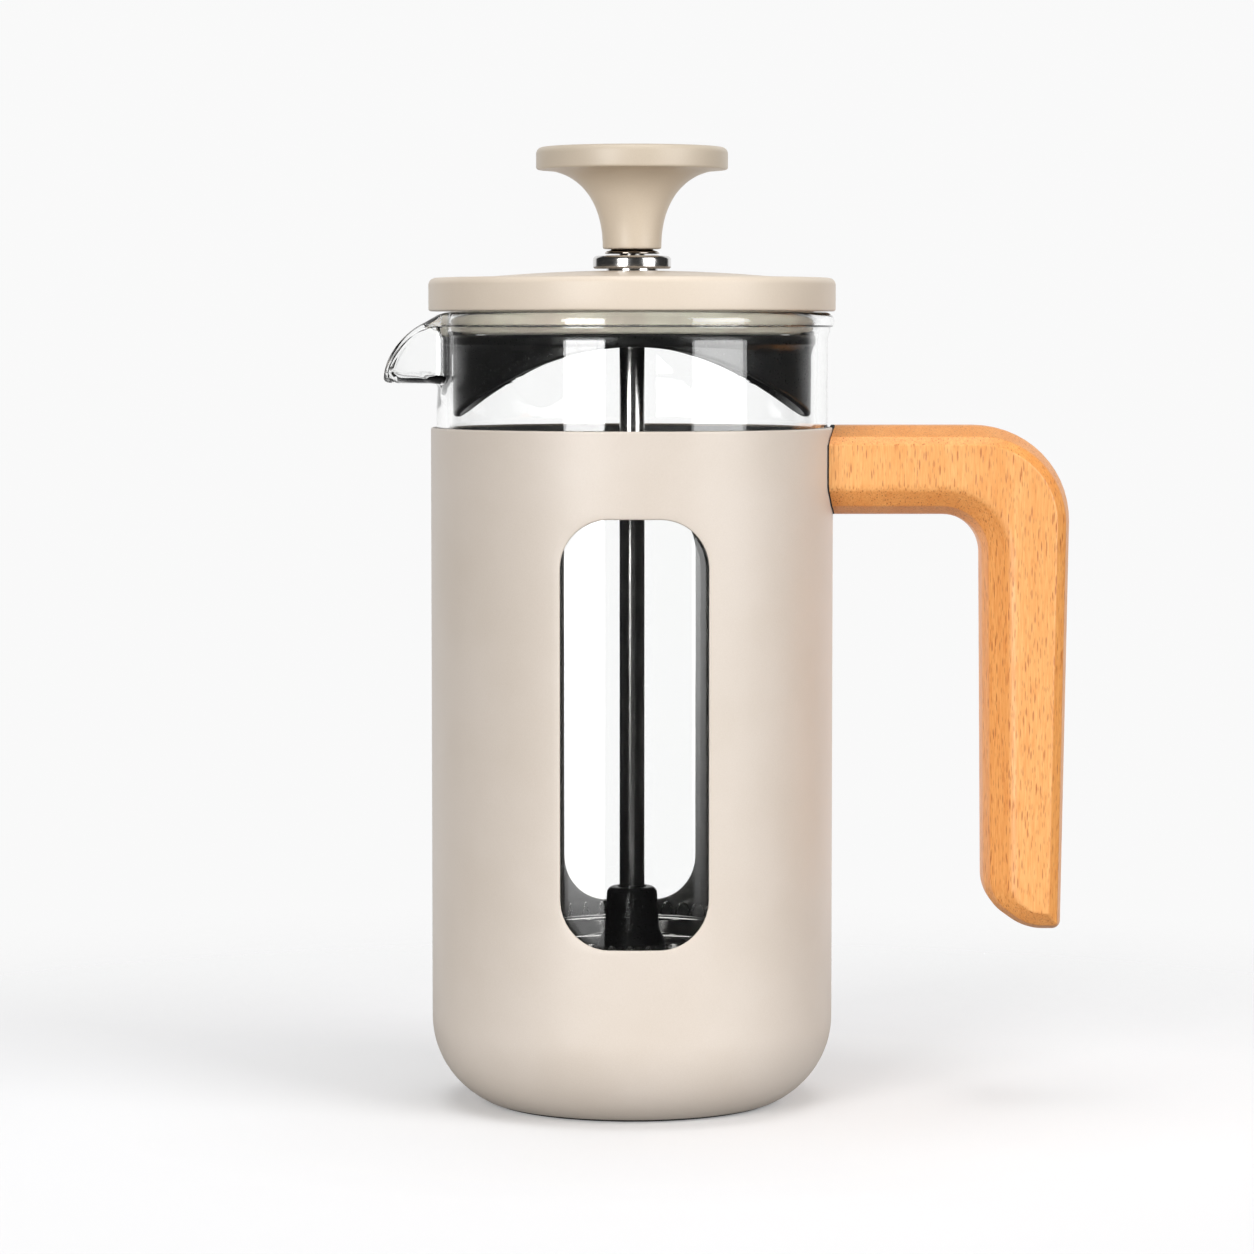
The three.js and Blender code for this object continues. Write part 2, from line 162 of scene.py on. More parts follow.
def turned(profile, sides=SIDES):
    """Vertices and faces of a profile of (radius, height) turned round Z. Points on the axis are shared."""
    closed = profile[0][0] > ON_AXIS and profile[-1][0] > ON_AXIS
    angles = TAU * np.arange(sides) / sides
    vertices, rings = [], []
    for radius, height in profile:
        if radius < ON_AXIS:
            rings.append([len(vertices)] * sides)
            vertices.append((0, 0, height))
        else:
            rings.append(list(range(len(vertices), len(vertices) + sides)))
            vertices += [(radius * math.cos(a), radius * math.sin(a), height) for a in angles]
    faces = []
    for j in range(len(rings) if closed else len(rings) - 1):
        low, high = rings[j], rings[(j + 1) % len(rings)]
        for i in range(sides):
            m = (i + 1) % sides
            faces.append(list(dict.fromkeys((low[i], low[m], high[m], high[i]))))
    return vertices, faces


def make_mesh(name, vertices, faces, sharp=SHARP):
    """A smooth mesh in metres, from vertices in millimetres."""
    mesh = bpy.data.meshes.new(name)
    scaled = (np.array(vertices, float) * MM).tolist()
    mesh.from_pydata(scaled, [], faces)
    mesh.validate()
    mesh.shade_smooth()
    mesh.set_sharp_from_angle(angle=math.radians(sharp))
    return mesh


def linked(name, data):
    """An object in the scene."""
    made = bpy.data.objects.new(name, data)
    bpy.context.scene.collection.objects.link(made)
    return made


def piece(name, shape, finish, body, nodes, sharp=SHARP):
    """One visible piece. It rides on a body, wears the finish it is given and stands for CAD nodes."""
    mesh = shape if isinstance(shape, bpy.types.Mesh) else make_mesh(name, *shape, sharp)
    mesh.materials.clear()
    mesh.materials.append(finish)
    made = linked(name, mesh)
    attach(made, body)
    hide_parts(*nodes)
    return made


def carved(name, shape, cutters, sharp=SHARP):
    """The mesh of a shape with every cutter taken away."""
    whole = linked(name, make_mesh(name, *shape, sharp))
    vertices, faces = [], []
    for cutter_vertices, cutter_faces in cutters:
        faces += [[len(vertices) + n for n in face] for face in cutter_faces]
        vertices += list(cutter_vertices)
    tool = linked(name + "_tool", make_mesh(name + "_tool", vertices, faces))
    modifier = whole.modifiers.new("cut", "BOOLEAN")
    modifier.operation = "DIFFERENCE"
    modifier.solver = "EXACT"
    modifier.object = tool
    cut = whole.evaluated_get(bpy.context.evaluated_depsgraph_get())
    result = bpy.data.meshes.new_from_object(cut)
    result.name = name
    result.shade_smooth()
    result.set_sharp_from_angle(angle=math.radians(sharp))
    for made in (whole, tool):
        bpy.data.objects.remove(made)
    return result


def moved(shape, x, y):
    """A shape moved sideways."""
    vertices, faces = shape
    return [(a + x, b + y, c) for a, b, c in vertices], faces


# Material tools.


def node(tree, kind, inputs=(), **settings):
    """A shader node. An input is given by its name or number, as a value or as the socket that feeds it."""
    made = tree.nodes.new(kind)
    for key, value in settings.items():
        setattr(made, key, value)
    for socket, value in dict(inputs).items():
        if isinstance(value, bpy.types.NodeSocket):
            tree.links.new(value, made.inputs[socket])
        else:
            made.inputs[socket].default_value = value
    return made


def new_material(name, **inputs):
    """A material with its Principled shader, whose plain values are set on its own sockets."""
    made = bpy.data.materials.new(name)
    made.use_nodes = True
    tree = made.node_tree
    shader = tree.nodes["Principled BSDF"]
    for key, value in inputs.items():
        shader.inputs[key.replace("_", " ")].default_value = value
    return made, tree, shader


def stretched(tree, vector, scale):
    """Coordinates with a scale of its own for each axis."""
    return node(tree, "ShaderNodeMapping", {0: vector, "Scale": scale}).outputs[0]


def place(tree, scale=(1, 1, 1)):
    """Object coordinates in millimetres, stretched."""
    where = node(tree, "ShaderNodeTexCoord").outputs["Object"]
    return stretched(tree, where, [s / MM for s in scale])


def noise(tree, vector, scale, detail=3.0, roughness=0.5):
    """Noise from 0 to 1."""
    inputs = {"Vector": vector, "Scale": scale, "Detail": detail, "Roughness": roughness}
    return node(tree, "ShaderNodeTexNoise", inputs).outputs["Fac"]


def mapped(tree, value, given, wanted, smooth=False):
    """A value carried from one (low, high) range to another, and kept inside it."""
    kind = "SMOOTHSTEP" if smooth else "LINEAR"
    inputs = {"Value": value, 1: given[0], 2: given[1], 3: wanted[0], 4: wanted[1]}
    return node(tree, "ShaderNodeMapRange", inputs, interpolation_type=kind).outputs[0]


def blended(tree, factor, first, second, kind="MIX"):
    """The first colour where the factor is 0, and the second, or their product, where it is 1."""
    inputs = {0: factor, 6: first, 7: second}
    return node(tree, "ShaderNodeMix", inputs, data_type="RGBA", blend_type=kind).outputs[2]


def math_node(tree, operation, *values):
    """The result of an operation on one or two numbers."""
    return node(tree, "ShaderNodeMath", dict(enumerate(values)), operation=operation).outputs[0]


def vector_node(tree, operation, *values):
    """The result of an operation on one or two vectors."""
    return node(tree, "ShaderNodeVectorMath", dict(enumerate(values)), operation=operation).outputs[0]


def axis(tree, vector, number):
    """One coordinate of a vector."""
    return node(tree, "ShaderNodeSeparateXYZ", {0: vector}).outputs[number]


def finish_with(tree, shader, tone, rough):
    """Gives the shader its colour and roughness."""
    tree.links.new(tone, shader.inputs["Base Color"])
    tree.links.new(rough, shader.inputs["Roughness"])


def bump(tree, shader, height, distance, strength=1.0):
    """Raises the surface by height times a distance in millimetres."""
    inputs = {"Height": height, "Distance": distance * MM, "Strength": strength}
    tree.links.new(node(tree, "ShaderNodeBump", inputs).outputs[0], shader.inputs["Normal"])


def colour(red, green, blue):
    """A linear colour from 8-bit display values."""

    def linear(value):
        share = value / 255
        return share / 12.92 if share <= 0.04045 else ((share + 0.055) / 1.055) ** 2.4

    return (linear(red), linear(green), linear(blue), 1)


# Materials.


def paint(name, base, dark):
    """Satin powder coat: a fine grain, a slow drift of colour and a faint orange peel."""
    made, tree, shader = new_material(name, Specular_IOR_Level=0.45)
    where = place(tree)
    grain = noise(tree, where, 5.0, 2.0)
    drift = noise(tree, where, 0.05, 3.0)
    fine = mapped(tree, grain, (0.3, 0.7), (0, 0.45))
    slow = mapped(tree, drift, (0.35, 0.65), (0, 0.55))
    tone = blended(tree, math_node(tree, "ADD", fine, slow), dark, base)
    finish_with(tree, shader, tone, mapped(tree, grain, (0.3, 0.7), (0.36, 0.46)))
    bump(tree, shader, noise(tree, where, 1.6, 3.0), 0.02, 0.35)
    return made


def flecks(tree, where, cell, length, low, high):
    """Short dark rays: the middles of tall thin cells. They fade out from low to high."""
    vector = stretched(tree, where, (1 / cell, 1 / cell, 1 / length))
    inputs = {"Vector": vector, "Scale": 1.0, "Randomness": 1.0}
    cells = node(tree, "ShaderNodeTexVoronoi", inputs, feature="F1")
    return mapped(tree, cells.outputs["Distance"], (low, high), (1, 0), True)


def beech():
    """Oiled beech. The grain runs along Z, with short dark flecks, fine fibres and slow bands of colour.

    Painted shade: the shaped edges, which turn away from the flat faces of the board, are darkened and
    warmed.
    """
    made, tree, shader = new_material("beech_wood", Specular_IOR_Level=0.5)
    plain = place(tree)
    slow = {"Vector": place(tree, (0.5, 0.5, 0.12)), "Scale": 1.0, "Detail": 2.0}
    wander = node(tree, "ShaderNodeTexNoise", slow).outputs["Color"]
    where = vector_node(tree, "ADD", plain, vector_node(tree, "MULTIPLY", wander, (0.5, 0.5, 0)))
    long_flecks = flecks(tree, where, cell=0.55, length=4.2, low=0.15, high=0.31)
    short_flecks = flecks(tree, where, cell=0.4, length=2.2, low=0.15, high=0.34)
    uneven = mapped(tree, noise(tree, plain, 0.3, 2.0), (0.35, 0.6), (0.35, 1))
    strong = math_node(tree, "MULTIPLY", long_flecks, uneven)
    weak = math_node(tree, "MULTIPLY", short_flecks, 0.5)
    thin = math_node(tree, "MAXIMUM", strong, weak)
    bands = noise(tree, place(tree, (0.3, 0.3, 0.012)), 1.0, 4.0, 0.6)
    fibre = noise(tree, stretched(tree, where, (4, 4, 0.25)), 1.0, 3.0, 0.6)
    banding = mapped(tree, bands, (0.3, 0.7), (0, 1))
    tone = blended(tree, banding, colour(243, 174, 104), colour(254, 194, 126))
    tone = blended(tree, mapped(tree, fibre, (0.36, 0.64), (0, 0.7)), tone, colour(229, 148, 76))
    tone = blended(tree, math_node(tree, "MULTIPLY", thin, 0.85), tone, colour(182, 101, 45))
    # Painted shade: faces that turn away from ±Y are made darker and more orange by their facing alone.
    facing = axis(tree, node(tree, "ShaderNodeNewGeometry").outputs["Normal"], 1)
    painted_side_shade = mapped(tree, math_node(tree, "ABSOLUTE", facing), (0.72, 0.98), (1, 0), True)
    tone = blended(tree, painted_side_shade, tone, (0.96, 0.85, 0.67, 1), "MULTIPLY")
    finish_with(tree, shader, tone, mapped(tree, fibre, (0.3, 0.7), (0.34, 0.46)))
    height = math_node(tree, "SUBTRACT", mapped(tree, fibre, (0.2, 0.8), (0, 0.35)), thin)
    bump(tree, shader, height, 0.05, 0.5)
    return made


def clear_glass():
    """Clear glass whose surface wavers slightly."""
    made, tree, shader = new_material("borosilicate_glass", Transmission_Weight=1.0, Roughness=0.0, IOR=1.55)
    shader.inputs["Base Color"].default_value = (0.995, 0.998, 0.996, 1)
    bump(tree, shader, noise(tree, place(tree), 0.06, 1.0), 0.25, 0.12)
    return made


def metal(name, tone, dull, rough, scratch=0.02, along=(1, 1, 1)):
    """Polished or brushed metal: streaks stretched by along, in a range of roughness, and a slight stain."""
    made, tree, shader = new_material(name, Metallic=1.0)
    streak = noise(tree, place(tree, along), 1.0, 3.0, 0.6)
    stain = noise(tree, place(tree), 0.15, 3.0)
    stained = blended(tree, mapped(tree, stain, (0.3, 0.7), (0, 1)), (*dull, 1), (*tone, 1))
    finish_with(tree, shader, stained, mapped(tree, streak, (0.25, 0.75), rough))
    bump(tree, shader, streak, scratch, 0.3)
    return made


def plastic(name, tone, rough, grain=2.5, depth=0.03):
    """Moulded plastic or rubber: a fine texture, a range of roughness and slightly lighter patches."""
    made, tree, shader = new_material(name)
    where = place(tree)
    fine = noise(tree, where, grain, 3.0)
    light = [min(1, 1.35 * c) for c in tone[:3]] + [1]
    patches = mapped(tree, noise(tree, where, 0.12, 2.0), (0.3, 0.7), (0, 1))
    finish_with(tree, shader, blended(tree, patches, tone, light), mapped(tree, fine, (0.3, 0.7), rough))
    bump(tree, shader, fine, depth, 0.4)
    return made


def woven_steel():
    """Fine woven wire cloth: two crossing waves, with painted shade between the wires."""
    pitch = 0.5
    # Painted shade: the openings between the wires are coloured near-black.
    gap, wire = (0.03, 0.03, 0.03, 1), (0.6, 0.59, 0.57, 1)
    made, tree, shader = new_material("woven_steel", Metallic=1.0, Roughness=0.32)
    where = node(tree, "ShaderNodeSeparateXYZ", {0: place(tree, (TAU / pitch,) * 3)})
    across = math_node(tree, "ABSOLUTE", math_node(tree, "SINE", where.outputs[0]))
    along = math_node(tree, "ABSOLUTE", math_node(tree, "SINE", where.outputs[1]))
    weave = math_node(tree, "MAXIMUM", across, along)
    raised = mapped(tree, weave, (0.45, 0.85), (0, 1), True)
    tree.links.new(blended(tree, raised, gap, wire), shader.inputs["Base Color"])
    bump(tree, shader, weave, 0.12, 0.8)
    return made


SLEEVE_PAINT = paint("sleeve_coat", colour(221, 210, 199), colour(213, 201, 188))
LID_PAINT = paint("lid_coat", colour(224, 210, 193), colour(216, 201, 183))
# Painted shade: the knob's coat is a darker copy of the lid's cream, standing in for the shade under its
# disc.
SHADED_TRUMPET_PAINT = paint("knob_coat", colour(207, 194, 176), colour(199, 185, 166))
# Painted light: the plug's plastic is lighter than the lid's cream, standing in for the lit band above the
# skirt.
LIT_PLUG_PLASTIC = plastic("plug_plastic", colour(232, 219, 201), (0.3, 0.4))
WOOD = beech()
GLASS = clear_glass()
BLACK = plastic("black_plastic", (0.008, 0.008, 0.008, 1), (0.26, 0.36))
RUBBER = plastic("black_rubber", (0.018, 0.018, 0.018, 1), (0.6, 0.8), 1.5, 0.05)
BARE_STEEL = metal("bare_steel", (0.50, 0.50, 0.49), (0.42, 0.42, 0.41), (0.58, 0.72), 0.02, (0.15, 0.15, 6))
CHROME = metal("collar_chrome", (0.66, 0.65, 0.64), (0.58, 0.57, 0.56), (0.13, 0.2), 0.004, (0.4, 0.4, 3))
# Painted reflection and shade: the stop's chrome is a dark brown, for the beige knob it mirrors and the
# shade under the knob.
SHADE_AND_REFLECTION_CHROME = metal("stop_chrome", (0.42, 0.38, 0.34), (0.34, 0.3, 0.26), (0.08, 0.14), 0.004)
ROD_STEEL = metal("rod_steel", (0.56, 0.55, 0.54), (0.47, 0.46, 0.45), (0.16, 0.26), 0.01, (4, 4, 0.08))
FILTER_STEEL = metal("filter_steel", (0.62, 0.61, 0.59), (0.52, 0.51, 0.49), (0.06, 0.12), 0.006)
BRASS = metal("turned_brass", (0.79, 0.58, 0.27), (0.68, 0.48, 0.22), (0.2, 0.32), 0.02, (0.2, 0.2, 5))
SCREEN_STEEL = woven_steel()


# Sleeve. The wall is one grid of rings and columns, and each window is a loop of rings let into it.

WINDOW_WIDTH = 25.7
WINDOW_BOTTOM = 31.6
WINDOW_TOP = 105.95
WINDOW_CORNER = 8.5
EDGE_ROUND = 0.33  # rounding of the edges of the windows and the rim
CUP_CORNER = 16.4  # outer radius between the wall and the floor
CUP_FOOT = 0.45  # height of the edge round the foot pad
CUP_FLOOR = 2.1  # height of the floor inside
PAD_GAP = 0.3  # between the foot pad and its recess
DIMPLE_RADIUS = 5.2  # at the handle's screw
DIMPLE_DEPTH = 2.1
SLEEVE_COLUMNS = 384
CORNER_STEPS = 28
PATCH_HALF = 34  # columns from a window's middle to the edge of its patch
PATCH_MARGIN = 5.0  # above and below the window
PATCH_ROWS = 56
PATCH_RINGS = 6  # steps from the patch's edge to the window's


def window_loop(grow, counts):
    """The window's outline, moved out by grow, with a stretch from corner to corner for each side."""
    radius = WINDOW_CORNER + grow
    side = WINDOW_WIDTH / 2 - WINDOW_CORNER
    low, high = WINDOW_BOTTOM + WINDOW_CORNER, WINDOW_TOP - WINDOW_CORNER
    centres = [(-side, low), (side, low), (side, high), (-side, high)]
    points = []
    for k, count in enumerate(counts):
        start = 225 + 90 * k
        stretch = arc(*centres[k], radius, start, start + 45, 24)
        stretch += arc(*centres[(k + 1) % 4], radius, start + 45, start + 90, 24)
        points += list(resampled(stretch, count + 1)[:-1])
    return points


def sleeve_profile():
    """The cup's profile, with the numbers of the patch's lowest row outside and inside."""
    radius, top, rim = SLEEVE_RADIUS, SLEEVE_TOP, EDGE_ROUND
    recess, pad_edge = PAD_TOP + PAD_GAP, PAD_RADIUS + PAD_GAP
    across, inside = radius - CUP_CORNER, CUP_CORNER - WALL
    height = math.sqrt(CUP_CORNER**2 - (PAD_RADIUS + 1 - across) ** 2) + CUP_FOOT
    start = math.degrees(math.asin((CUP_FOOT - height) / CUP_CORNER))
    inner_start = math.degrees(math.asin((CUP_FLOOR - height) / inside))
    low, high = WINDOW_BOTTOM - PATCH_MARGIN, WINDOW_TOP + PATCH_MARGIN
    patch = list(np.linspace(low, high, PATCH_ROWS + 1))
    above = list(np.linspace(high, top - 0.4, 12))[1:]
    wall = [height + 5] + patch + above
    profile = [(0, recess), (PAD_RADIUS - 2, recess)]
    profile += rounded([(PAD_RADIUS - 1, recess, 0), (pad_edge, recess, 0.3), (pad_edge, CUP_FOOT, 0)], 3)
    profile += arc(across, height, CUP_CORNER, start, 0, CORNER_STEPS)
    first_outside = len(profile) + 1
    profile += [(radius, z) for z in wall]
    profile += arc(radius - rim, top - rim, rim, 0, 90, 4)
    profile += arc(radius - WALL + rim, top - rim, rim, 90, 180, 4)
    last_inside = len(profile) + len(wall) - 2
    profile += [(radius - WALL, z) for z in reversed(wall)]
    profile += arc(across, height, inside, 0, inner_start, CORNER_STEPS)
    profile.append((0, CUP_FLOOR))
    return profile, first_outside, last_inside


def cup_vertex(ring, column):
    """The number of a vertex of the turned cup. Ring 0 is one vertex, at the middle of the underside."""
    return 1 + (ring - 1) * SLEEVE_COLUMNS + column % SLEEVE_COLUMNS


def window_patch(vertices, middle, first_outside, last_inside):
    """Faces from the outer wall, round the window's edge, to the inner wall, with vertices added for them.

    middle is the column at the window's middle. A ring's share is how far it is from the patch's edge
    to the window's.
    """
    left, right = middle - PATCH_HALF, middle + PATCH_HALF
    walk = [(c, 0) for c in range(left, right)] + [(right, r) for r in range(PATCH_ROWS)]
    walk += [(c, PATCH_ROWS) for c in range(right, left, -1)] + [(left, r) for r in range(PATCH_ROWS, 0, -1)]
    counts = (2 * PATCH_HALF, PATCH_ROWS, 2 * PATCH_HALF, PATCH_ROWS)
    outside = [cup_vertex(first_outside + r, c) for c, r in walk]
    inside = [cup_vertex(last_inside - r, c) for c, r in walk]
    turn = TAU * middle / SLEEVE_COLUMNS
    step_up = (WINDOW_TOP - WINDOW_BOTTOM + 2 * PATCH_MARGIN) / PATCH_ROWS
    border = []
    for column, row in walk:
        angle = TAU * (column - middle) / SLEEVE_COLUMNS
        border.append((angle, WINDOW_BOTTOM - PATCH_MARGIN + row * step_up))
    quarter = [math.radians(90 * k / 4) for k in range(5)]
    edge = [(EDGE_ROUND * (1 - math.sin(a)), EDGE_ROUND * (1 - math.cos(a))) for a in quarter]
    edge += [(grow, WALL - depth) for grow, depth in reversed(edge)]
    rings = [(edge[0][0], 0.0, k / PATCH_RINGS) for k in range(1, PATCH_RINGS)]
    rings += [(grow, depth, 1.0) for grow, depth in edge]
    rings += [(edge[-1][0], WALL, 1 - k / PATCH_RINGS) for k in range(1, PATCH_RINGS)]
    loops = [outside]
    for grow, depth, share in rings:
        loop = []
        radius = SLEEVE_RADIUS - depth
        for (x, z), (angle, height) in zip(window_loop(grow, counts), border):
            bent = angle + share * (math.asin(x / radius) - angle)
            loop.append(len(vertices))
            level = height + share * (z - height)
            vertices.append((radius * math.cos(turn + bent), radius * math.sin(turn + bent), level))
        loops.append(loop)
    loops.append(inside)
    count = len(walk)
    faces = []
    for near, far in zip(loops, loops[1:]):
        for i in range(count):
            m = (i + 1) % count
            faces.append([near[i], near[m], far[m], far[i]])
    return faces


def in_patch(row, column, middle, first_row):
    """Whether a face of the cup lies where a window's patch goes."""
    shift = (column - middle + PATCH_HALF) % SLEEVE_COLUMNS
    return first_row <= row < first_row + PATCH_ROWS and shift < 2 * PATCH_HALF


def sleeve_shape():
    """The cup, with the faces at its two windows replaced by patches."""
    profile, first_outside, last_inside = sleeve_profile()
    vertices, faces = turned(profile, SLEEVE_COLUMNS)
    middles = (SLEEVE_COLUMNS * 3 // 4, SLEEVE_COLUMNS // 4)
    kept = []
    inner_first = last_inside - PATCH_ROWS
    for number, face in enumerate(faces):
        row, column = divmod(number, SLEEVE_COLUMNS)
        if not any(in_patch(row, column, m, f) for m in middles for f in (first_outside, inner_first)):
            kept.append(face)
    for middle in middles:
        kept += window_patch(vertices, middle, first_outside, last_inside)
    return vertices, kept


def with_dimple(vertices):
    """Presses the wall outwards in a blunt cone, for the head of the handle's screw."""
    result = []
    for x, y, z in vertices:
        reach = math.hypot(x, y)
        from_screw = math.hypot(y, z - SCREW_HEIGHT)
        push = 0.0
        if x > 0 and reach > SLEEVE_RADIUS - WALL - 0.01:
            push = min(max(DIMPLE_RADIUS - from_screw, 0), DIMPLE_DEPTH)
        share = 1 + push / max(reach, 1)
        result.append((x * share, y * share, z))
    return result


def bare_inside(sleeve):
    """Leaves the steel bare inside the cup, from its floor to just under the rim."""
    sleeve.data.materials.append(BARE_STEEL)
    for polygon in sleeve.data.polygons:
        middle, normal = polygon.center / MM, polygon.normal
        facing_in = normal.x * middle.x + normal.y * middle.y < 0 or normal.z > 0.5
        between = CUP_FLOOR - 0.2 < middle.z < SLEEVE_TOP - 0.5
        if facing_in and between and middle.xy.length < SLEEVE_RADIUS - WALL + 0.15:
            polygon.material_index = 1


sleeve_vertices, sleeve_faces = sleeve_shape()
pressed_sleeve = (with_dimple(sleeve_vertices), sleeve_faces)
bare_inside(piece("painted_sleeve", pressed_sleeve, SLEEVE_PAINT, "frame", ["frame_sleeve"]))


# Foot and cushion.


def disc_shape(radius, bottom, top, edge, sides=SIDES):
    """A disc whose edges are rounded by edge."""
    corners = [(0, bottom, 0), (radius, bottom, edge), (radius, top, edge), (0, top, 0)]
    return turned(rounded(corners, 4), sides)


piece("foot_pad", disc_shape(PAD_RADIUS, 0, PAD_TOP, edge=0.25), RUBBER, "frame", ["base_pad"])


# Handle: an L with a chamfer of its own on each edge, and softly rounded ridges.

SEAT_RADIUS = SLEEVE_RADIUS + 0.3
ARM_BOTTOM = 105.6
LEG_INNER = 62.4
TOE_INNER = 63.1
TOE_OUTER = 77.0
HEEL_HIGH = 36.4
HEEL_OUT = 70.7
SHOULDER = 17  # outer radius of the L's corner
HALF_DEPTH = HANDLE_HIGH[1]
HALF_RIDGE = 3.3  # where the sides start to lean in
# How far each side leans in, and how wide its chamfer is:
# under the arm, inside the leg, heel, toe, outside the leg, top.
LEANS = (1.6, 1.0, 1.0, 1.1, 1.1, 1.9)
CHAMFERS = (3.1, 3.7, 2.5, 2.5, 1.8, 1.5)
RIDGES = (2.4, 3.0, 1.0, 0.8, 0.6, 0.6)  # how round the edge of the front flat is
RIDGE_SPAN = 0.43  # how much of the front flat a ridge takes, for each millimetre of its radius
# The corners of the L, from under the arm to the shoulder: the radius halfway through the wood, and its
# change for each millimetre that the sides move in.
CORNERS = ((7, 1.0), (8.5, -1.1), (10, -1.5), (1.5, -0.85), (SHOULDER, -1.0))
SMALLEST_CORNER = 0.45


def line_crossing(first, second):
    """Where two lines meet. A line is a point and a direction."""
    (p, d), (q, e) = first, second
    share = np.linalg.solve(np.array([d, -np.array(e)]).T, np.array(q) - np.array(p))[0]
    return np.array(p) + share * np.array(d)


def edge_section(lean, chamfer, ridge):
    """(inset, depth) points of one side, from the middle of the wood to the front flat."""
    corners = [
        (0, 0, 0),
        (0, HALF_RIDGE, 6.0),
        (lean, HALF_DEPTH - chamfer, 1.3),
        (lean + chamfer, HALF_DEPTH, ridge),
        (lean + chamfer + RIDGE_SPAN * ridge, HALF_DEPTH, 0),
    ]
    return rounded(corners, 7)


def handle_ring(insets, depths):
    """The outline with each side moved in by its own inset, at its own depth."""
    top, bottom, outer = HANDLE_HIGH[2], HANDLE_LOW[2], HANDLE_HIGH[0]
    sides = [
        ((0, ARM_BOTTOM), (LEG_INNER, ARM_BOTTOM)),
        ((LEG_INNER, ARM_BOTTOM), (TOE_INNER, HEEL_HIGH)),
        ((TOE_INNER, HEEL_HIGH), (HEEL_OUT, bottom)),
        ((HEEL_OUT, bottom), (TOE_OUTER, bottom)),
        ((TOE_OUTER, bottom), (outer, top - SHOULDER)),
        ((outer - SHOULDER, top), (0, top)),
    ]
    lines = []
    for (first, second), inset in zip(sides, insets):
        direction = unit(np.array(second, float) - np.array(first, float))
        inward = np.array([-direction[1], direction[0]])
        lines.append((np.array(first) + inward * inset, direction))
    means = [(a + b) / 2 for a, b in zip(insets, insets[1:])]
    radii = [max(radius + change * mean, SMALLEST_CORNER) for (radius, change), mean in zip(CORNERS, means)]
    steps = 14
    points = [(0, lines[0][0][1], 0)]
    for first, second, radius in zip(lines, lines[1:], radii):
        points.append((*line_crossing(first, second), radius))
    points.append((0, lines[5][0][1], 0))
    outline = rounded(points, steps)
    depth = [depths[0]]
    for first, second in zip(depths, depths[1:]):
        depth += list(np.linspace(first, second, steps + 1))
    depth.append(depths[-1])
    ring = [(x, y, z) for (x, z), y in zip(outline, depth)]
    for end in (0, -1):
        x, y, z = ring[end]
        ring[end] = (math.sqrt(SEAT_RADIUS**2 - y**2), y, z)
    return ring


def handle_rings():
    """Rings from the back flat to the front flat."""
    sections = [edge_section(*numbers) for numbers in zip(LEANS, CHAMFERS, RIDGES)]
    front = []
    for points in zip(*sections):
        front.append(handle_ring([p[0] for p in points], [-p[1] for p in points]))
    back = [[(x, -y, z) for x, y, z in ring] for ring in front[1:]]
    return back[::-1] + front


def handle_shape():
    """The L, closed by its back and front flats."""
    rings = handle_rings()
    count = len(rings[0])
    vertices = [p for ring in rings for p in ring]
    faces = grid_faces(len(rings), count, wrap_columns=True)
    last = (len(rings) - 1) * count
    faces += [list(range(count))[::-1], [last + i for i in range(count)]]
    return vertices, faces


def gasket_shape():
    """A thin strip between the arm's end and the sleeve."""
    inner, outer = SLEEVE_RADIUS + 0.02, SEAT_RADIUS - 0.02
    rows = []
    for ring in handle_rings():
        (_, y, low), (_, _, high) = ring[0], ring[-1]
        for radius, z in ((inner, low), (outer, low), (outer, high), (inner, high)):
            rows.append((math.sqrt(radius**2 - y**2), y, z))
    count = len(rows) // 4
    ends = [[3, 2, 1, 0], [len(rows) - 4 + i for i in range(4)]]
    return rows, grid_faces(count, 4, wrap_columns=True) + ends


piece("beech_handle", handle_shape(), WOOD, "frame", ["handle"], sharp=30)
piece("handle_seal", gasket_shape(), RUBBER, "frame", ["handle_gasket"])


# Beaker: a middle surface with a spout pulled out of it, thickened both ways, with a bead on its edge.

GLASS_WALL = 2.0
GLASS_RADIUS = 34.0  # to the middle of the wall
GLASS_CORNER = 11.0  # radius between the base and the wall
WALL_TOP = 122.6  # where the wall stops being straight
FLARE_BOTTOM = 137.1
FLARE_TOP = 138.6
FLARE = 0.55  # how far the edge stands out
RIM_BEAD = 1.65  # radius of the bead
BEAD_START = -35  # degrees on its circle
SPOUT_HALF_ANGLE = math.radians(21)
SPOUT_EASE = 0.85  # under 1 makes the spout's plan blunter
SPOUT_FLOOR = 129.7
SPOUT_ROOT = 1.8  # bend from the wall into the spout's floor
SPOUT_TURN = 2.2  # bend from the floor up to the lip
SPOUT_LIP = 0.8  # radius of the bead at the spout
SPOUT_WALL = 1.4
SPOUT_BLEND = 2.5  # how far out the edge is where the flare has become a spout
THINNING = 5  # the height over which the wall grows thinner, under the spout's floor
PROFILE_POINTS = 36


def spout_reach(angle):
    """0 away from the spout to 1 at its tip. angle is measured from -X."""
    share = min(abs(angle) / SPOUT_HALF_ANGLE, 1)
    return (0.5 + 0.5 * math.cos(math.pi * share)) ** SPOUT_EASE


def beaker_columns():
    """Angles from -X, closer together at the spout."""
    spout = np.linspace(-SPOUT_HALF_ANGLE, SPOUT_HALF_ANGLE, 97)
    rest = np.linspace(SPOUT_HALF_ANGLE, TAU - SPOUT_HALF_ANGLE, 193)[1:-1]
    return np.concatenate([spout, rest])


